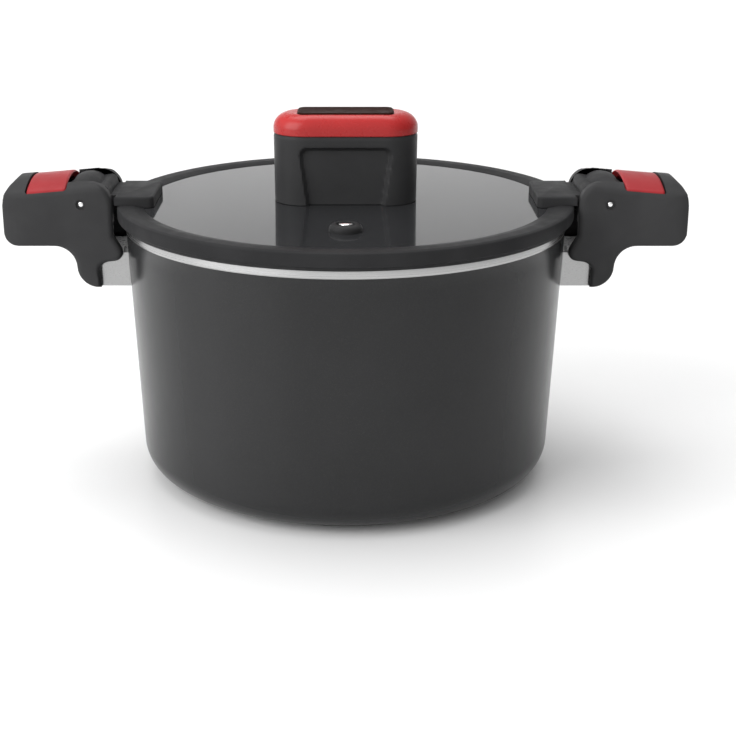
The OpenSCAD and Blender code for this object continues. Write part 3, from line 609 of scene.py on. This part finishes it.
def make_knob_body():
    """Black lower part of the knob with a finger recess front and back."""
    low, high = KNOB_LOW[2] + 0.05, KNOB_HIGH[2]
    outline = resample(stadium(KNOB_HALF_L - 0.1, KNOB_HALF_D - 0.1), 0.9)
    rings = []
    levels = [low, low + 0.3] + [low + 0.3 + (high - low - 0.6) * i / 48 for i in range(1, 49)] + [high]
    for z in levels:
        edge = 0.3 if z in (low, high) else 0.0
        taper = 0.3 * (1 - (z - low) / (high - low)) + 0.5 * smooth((z - high + 1.6) / 1.2)
        ring = []
        for x, y in inset(outline, edge + taper):
            sink = recess_depth(x, z) if abs(y) > KNOB_HALF_D - 3 else 0.0
            ring.append((x, y - math.copysign(sink, y), z))
        rings.append(ring)
    body = loft("knob_grip", rings, [KNOB_BLACK], 30)
    bore_r, past = 6.9, 5
    bore_profile = [(0, low - past), (bore_r, low - past), (bore_r, high + past), (0, high + past)]
    bore = revolve("bore", bore_profile, [KNOB_BLACK], segments=64)
    boolean(body, [bore], sharp=30)
    finished(body, "lid", "black_plastic", "knob_body")


def plate_outline(grow):
    x = PLATE_HIGH[0] + grow
    y = PLATE_HIGH[1] + grow
    return rounded_rect(-x, x, -y, y, 4 + grow, 8)


def make_knob_cap():
    """Red cap with a soft top edge around the black push plate."""
    below_plate = 0.8
    low, top = CAP_LOW[2], CAP_HIGH[2] - below_plate
    outline = resample(stadium(KNOB_HALF_L, KNOB_HALF_D), 1.2)
    edge_x, edge_y, edge_z = 9.5, 6.0, 8.5
    rings = [ring_at(inset(outline, 0.35), low + 0.02), ring_at(outline, low + 0.4)]
    steps = 12
    for k in range(steps + 1):
        t = math.radians(90 * k / steps)
        fall = 1 - math.cos(t)
        sx = 1 - fall * edge_x / KNOB_HALF_L
        sy = 1 - fall * edge_y / KNOB_HALF_D
        z = top - edge_z * (1 - math.sin(t)) - 0.02
        rings.append([(x * sx, y * sy, z) for x, y in outline])
    cap = loft("knob_cap_shell", rings, [RED_CAP], 35)
    well_outline = plate_outline(0.35)
    well = loft("well", [ring_at(well_outline, top - 5.8), ring_at(well_outline, top + 3)], [RED_CAP])
    bore = revolve("bore", [(0, low - 5), (8, low - 5), (8, top), (0, top)], [RED_CAP], segments=48)
    boolean(cap, [well, bore], sharp=35)
    finished(cap, "lid", "red_plastic", "knob_cap")


def make_push_plate():
    top = PLATE_HIGH[2]
    rings = [ring_at(plate_outline(-0.2), top - 3.0), ring_at(plate_outline(0), top - 2.8)]
    for k in range(5):
        t = math.radians(90 * k / 4)
        rings.append(ring_at(plate_outline(-0.8 * (1 - math.cos(t))), top - 0.8 * (1 - math.sin(t))))
    rings.append(ring_at(plate_outline(-2.2), top - 0.25))
    plate = loft("steam_push_plate", rings, [PLATE_BLACK])
    stem = revolve("boss", [(3.0, PLATE_LOW[2]), (6.2, PLATE_LOW[2]), (6.2, top - 2.5), (3.0, top - 2.5)],
                   [KNOB_BLACK], segments=48, closed=True)
    boolean(plate, [stem], "UNION")
    finished(plate, "steam_valve", "black_plastic", "steam_button")


# ---- Handles ----


def crown_top(x, y):
    """Height of the crowned top of a handle."""
    return CROWN_Z - CROWN_SLOPE * (x - PIN_X) - (CROWN_R - math.sqrt(CROWN_R ** 2 - y ** 2))


def end_at(y, depth, end):
    """Outermost x of a handle at a distance y from its middle: a long, shallow elliptical corner."""
    beyond = (abs(y) - (HALF_W - depth)) / depth
    if beyond <= 0:
        return end
    return end - END_ROLL * (1 - math.sqrt(max(1 - beyond ** 2, 0)))


def handle_outline():
    """Side view of a handle in x and z, anticlockwise from the hook tip."""
    end_c = (END_X - 8.2, GRIP_LOW_Z + 8.2)
    points = [(136.4, JAW_LOW_Z)]
    points += arc((137.6, JAW_LOW_Z + 12), 12, -90, 0, 10)
    points += arc((161.6, GRIP_LOW_Z - 12), 12, 180, 90, 10)
    points += arc(end_c, 8.2, -90, 0, 10)
    points += [(END_X, 152), (END_X - 0.1, 156), (END_X - 0.6, 160.2), (END_X - 1.6, 163.8),
               (END_X - 3.2, 167), (END_X - 5.6, 169.4), (END_X - 8.4, 171.4), (181, 176), (150, 176),
               (141.6, 176)]
    points += arc((140.6, 158.5), 12, 88, 180, 14)
    points += [(128.6, 141), (126.9, 138), (125.2, 135), (124.2, 133), (123.9, 131), (124.2, 129.2),
               (125, 128), (126.4, 126.9), (128.5, 126.4), (132.2, 126), (134.5, 125.2), (136.2, 123.6),
               (137.2, 121.5)]
    return points


def handle_solid(name, outline, half_w, edge, end, depth, sink):
    """Solid between two side faces, under the crowned top, with rounded edges."""
    outline = resample(outline, 1.3)
    slices = []
    for k in range(5):
        t = math.radians(90 * k / 4)
        slices.append((half_w - edge * (1 - math.sin(t)), edge * (1 - math.cos(t))))
    slices.reverse()
    inner = [(half_w - edge) * (1 - i / 9) for i in range(1, 9)]
    half = [(y, amount) for y, amount in reversed(slices)] + [(y, 0.0) for y in inner]
    rows = [(-y, amount) for y, amount in half] + [(0.0, 0.0)] + [(y, amount) for y, amount in reversed(half)]
    rings = []
    for y, amount in sorted(rows):
        ring = []
        limit = end_at(y, depth, end) - sink
        for x, z in inset(outline, amount):
            x = min(x, limit)
            ring.append((x, y, min(z, crown_top(x, y) - amount - sink)))
        rings.append(ring)
    return loft(name, rings, [BLACK], 32)


def make_handle(side):
    shell = handle_solid("handle_moulding_" + side, handle_outline(), HALF_W, 2.6, END_X, 3.4, 0.0)
    soften(shell, 0.7, 6)
    cavity_outline = [(151, 138.2)] + arc((END_X - 8.2, 143.2), 5.0, -90, 0, 6)
    cavity_outline += [(186.4, 149), (186, 157), (184.4, 162), (181, 166), (179, 168), (179, 176), (151, 176)]
    x0, x1 = BUTTON_LOW[0] - BUTTON_GAP, BUTTON_END_X + BUTTON_GAP
    y1 = BUTTON_HIGH[1] + BUTTON_GAP
    well_outline = rounded_rect(x0, x1, -y1, y1, 1.6)
    cuts = [
        handle_solid("cavity", cavity_outline, 23.2, 0.6, END_X, 3.4, 2.8),
        barrel("hub_room", HUB_GAP, CHEEK_IN_Y, [BLACK]),
        block("neck_room", 100, PIN_X, -CHEEK_IN_Y, CHEEK_IN_Y, 147.9, 190, [BLACK]),
        block("top_room", 100, x0 + 2, -CHEEK_IN_Y, CHEEK_IN_Y, PIN_Z, 190, [BLACK]),
        block("jaw_room", 100, 140.6, -20.8, 20.8, 100, 148, [BLACK]),
        loft("well", [ring_at(well_outline, 158), ring_at(well_outline, 190)], [BLACK]),
        block("cover_room", 160, 183.4, -20, 20, 130, 137.6, [BLACK]),
        block("cover_well", 162, 177.4, -18, 18, 130, 140, [BLACK]),
        block("plate_room", 140.5, 143, -17, 17, 113, 146, [BLACK]),
    ]
    cuts += [turned_y("dish", [(face - 1, 2.75), (face + 1, 2.75)], [BLACK]) for face in (-HALF_W, HALF_W)]
    boolean(shell, cuts, sharp=32)
    turned_half(shell, side)
    finished(shell, "handle_" + side, "black_plastic", "handle_shell_" + side)


def make_button(side):
    """Red release button with a crowned top and soft edges."""
    x0, x1 = BUTTON_LOW[0], BUTTON_END_X
    y1 = BUTTON_HIGH[1]
    low = 164.0
    edge = 1.4
    sunk = 0.45
    base = resample(rounded_rect(x0, x1, -y1, y1, 2.0), 1.4)
    rings = [ring_at(base, low)]
    for k in range(6):
        t = math.radians(90 * k / 5)
        drop = edge * (1 - math.sin(t))
        outline = inset(base, edge * (1 - math.cos(t)))
        rings.append([(x, y, crown_top(x, y) - sunk - drop) for x, y in outline])
    inner = inset(base, edge)
    cx = (x0 + x1) / 2
    for f in (0.8, 0.6, 0.4, 0.2, 0.04):
        outline = [(cx + (x - cx) * f, y * f) for x, y in inner]
        rings.append([(x, y, crown_top(x, y) - sunk) for x, y in outline])
    button = loft("red_button_" + side, rings, [RED_BUTTON], 34)
    cuts = [barrel("hub_room", HUB_GAP, CHEEK_IN_Y, [RED_BUTTON], rise=down) for down in (0.0, BUTTON_TRAVEL)]
    cuts.append(block("hollow", x0 + 2.2, 170, -19.2, 19.2, low - 2, 167, [RED_BUTTON]))
    boolean(button, cuts, sharp=34)
    wedge_points = [(160.5, 166.9), (160.5, 157.9), (165.7, 157.9), (168.3, 160.5), (168.3, 166.9)]
    wedge = loft("wedge", [[(x, y, z) for x, z in wedge_points] for y in (-6, 6)], [RED_BUTTON])
    boolean(button, [wedge], "UNION", sharp=34)
    turned_half(button, side)
    finished(button, "button_" + side, "red_button_plastic", "release_button_" + side)


def make_hinge_pin(side):
    """Steel pin with a domed head in the dish of each cheek."""
    half = HALF_W - 0.6
    head = [(half, 0.6), (half - 0.15, 1.2), (half - 0.5, 1.6), (half - 0.9, 1.75)]
    rows = [(-y, r) for y, r in head] + [(y, r) for y, r in reversed(head)]
    pin = turned_y("hinge_pin_steel_" + side, rows, [CHROME], segments=48)
    turned_half(pin, side)
    finished(pin, "handle_" + side, "polished_steel", "hinge_pin_" + side)


# ---- CAD nodes that stay ----

CAD_MATERIALS = {
    "bracket_left": STRAP, "bracket_right": STRAP, "bracket_rivets": STEEL,
    "lid_glass": GLASS, "lid_clamp_ring": RING_BLACK_PAINTED_SHADE, "lid_ring_screws": STEEL, "lid_gasket": SILICONE,
    "arm_screws": STEEL, "knob_stud": CHROME, "knob_nut": STEEL, "knob_washer": STEEL,
    "knob_gasket": SILICONE, "knob_screws": STEEL, "valve_stem": CHROME, "valve_disc": RED_SILICONE,
    "stem_clip": STEEL, "valve_spring": SPRING_STEEL, "indicator_clip": STEEL,
}
for hand in ("left", "right"):
    CAD_MATERIALS["grip_cover_" + hand] = BLACK
    CAD_MATERIALS["cover_screws_" + hand] = STEEL
    CAD_MATERIALS["jaw_plate_" + hand] = STEEL
    CAD_MATERIALS["jaw_screws_" + hand] = STEEL
    CAD_MATERIALS["button_springs_" + hand] = SPRING_STEEL
    CAD_MATERIALS["latch_plate_" + hand] = STEEL


def dress_cad_nodes():
    for name, mat in CAD_MATERIALS.items():
        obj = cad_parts[name]
        if not obj.material_slots:
            obj.data.materials.append(mat)
        for place in obj.material_slots:
            place.material = mat


# ---- Room, light and camera ----


def make_floor():
    mat, tree, shader, coords = new_material("floor_with_painted_shade")
    split = tree.nodes.new("ShaderNodeSeparateXYZ")
    tree.links.new(coords, split.inputs["Vector"])
    tone = ramp(tree, noise(tree, coords, 3, 2), grey(0.9), grey(0.92))
    # Painted shade: the base colour is multiplied down from full at 0.25 m height to 0.57 at 0.6 m, so the
    # curved-up backdrop wall reads dimmer than the floor near the pot.
    painted_wall_shade = tree.nodes.new("ShaderNodeMix")
    painted_wall_shade.data_type = "RGBA"
    painted_wall_shade.blend_type = "MULTIPLY"
    painted_wall_shade.inputs["Factor"].default_value = 1.0
    tree.links.new(tone, painted_wall_shade.inputs["A"])
    tree.links.new(ramp(tree, split.outputs["Z"], grey(1.0), grey(0.57), 0.25, 0.6), painted_wall_shade.inputs["B"])
    tree.links.new(painted_wall_shade.outputs["Result"], shader.inputs["Base Color"])
    shader.inputs["Roughness"].default_value = 0.35
    half, back, radius, height = 3.0, 1.6, 0.6, 3.0
    profile = [(-half, 0.0), (back - radius, 0.0)]
    profile += arc((back - radius, radius), radius, -81, 0, 9)
    profile.append((back, height))
    verts = [(x, y, z) for y, z in profile for x in (-half, half)]
    faces = [(2 * i, 2 * i + 1, 2 * i + 3, 2 * i + 2) for i in range(len(profile) - 1)]
    mesh = bpy.data.meshes.new("floor")
    mesh.from_pydata(verts, [], faces)
    mesh.materials.append(mat)
    mesh.shade_smooth()
    floor = bpy.data.objects.new("floor", mesh)
    bpy.context.scene.collection.objects.link(floor)


def area_light(name, place, target, size, power):
    light = bpy.data.lights.new(name, "AREA")
    light.shape = "RECTANGLE"
    light.size, light.size_y = size
    light.energy = power
    obj = bpy.data.objects.new(name, light)
    obj.location = place
    obj.rotation_euler = (Vector(target) - Vector(place)).to_track_quat("-Z", "Y").to_euler()
    bpy.context.scene.collection.objects.link(obj)


def make_light():
    world = bpy.data.worlds.new("studio")
    bpy.context.scene.world = world
    world.use_nodes = True
    tree = world.node_tree
    back = tree.nodes["Background"]
    coords = tree.nodes.new("ShaderNodeTexCoord")
    split = tree.nodes.new("ShaderNodeSeparateXYZ")
    tree.links.new(coords.outputs["Generated"], split.inputs["Vector"])
    sides = ramp(tree, split.outputs["X"], grey(1.0), grey(0.22), 0.0, 1.0)
    tree.links.new(sides, back.inputs["Color"])
    back.inputs["Strength"].default_value = 1.0
    area_light("key", (-1.4, -1.0, 1.0), (0, 0, 0.1), (1.7, 1.5), 24)
    area_light("top", (-0.1, 0.35, 1.8), (0.0, 0, 0.0), (1.4, 1.4), 16)


def make_camera():
    camera = bpy.data.cameras.new("camera")
    camera.lens = 72.19
    camera.sensor_width = 36
    camera.shift_x = 0.0304
    obj = bpy.data.objects.new("camera", camera)
    obj.location = (0, -0.8205, 0.3347)
    obj.rotation_euler = (math.radians(90 - 18.79), 0, 0)
    bpy.context.scene.collection.objects.link(obj)
    bpy.context.scene.camera = obj


make_camera()
make_pot()
make_base()
make_ring()
make_indicator()
make_knob_body()
make_knob_cap()
make_push_plate()
for hand in ("left", "right"):
    make_arm(hand)
    make_handle(hand)
    make_button(hand)
    make_hinge_pin(hand)
dress_cad_nodes()
make_floor()
make_light()
bpy.context.scene.view_settings.view_transform = "Standard"
